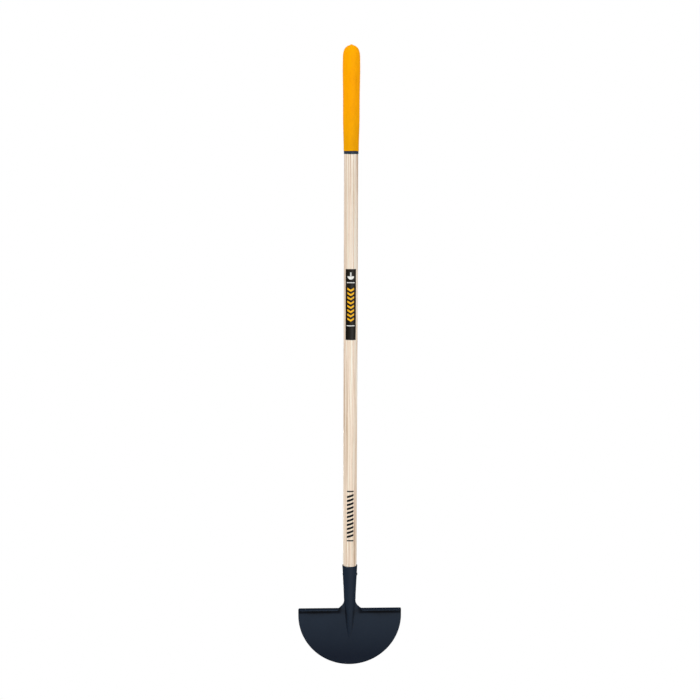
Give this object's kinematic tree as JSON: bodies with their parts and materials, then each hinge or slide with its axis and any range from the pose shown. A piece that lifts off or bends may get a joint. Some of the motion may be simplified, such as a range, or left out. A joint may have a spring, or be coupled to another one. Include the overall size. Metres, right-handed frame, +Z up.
{
  "type": "half moon edger",
  "caption": "Long handled lawn edger: half moon steel blade with turned steps, rolled socket, straight wooden handle and closed-end cushion grip.",
  "frame": {"origin": "lowest point of the cutting edge, straight below the handle's axis", "axes": "+Z up along the handle, -Y towards the front of the tool where the steps turn forward, +X to the right seen from the front"},
  "size_m": [0.2286, 0.0405, 1.3557],
  "materials": {
    "head_paint": "blue-black satin paint on pressed steel sheet",
    "handle_wood": "pale ash with fine grain along the handle under clear lacquer",
    "rivet_steel": "steel rivet painted with the head",
    "grip_cushion": "soft yellow-orange vinyl, smooth and satin",
    "band_rubber": "dark blue-black, matt",
    "label_film": "black film with a plain yellow and white pattern"
  },
  "bodies": {
    "root": {"head": "head_paint", "handle": "handle_wood", "rivet": "rivet_steel", "grip": "grip_cushion", "grip_band": "band_rubber", "label": "label_film"}
  },
  "joints": []
}
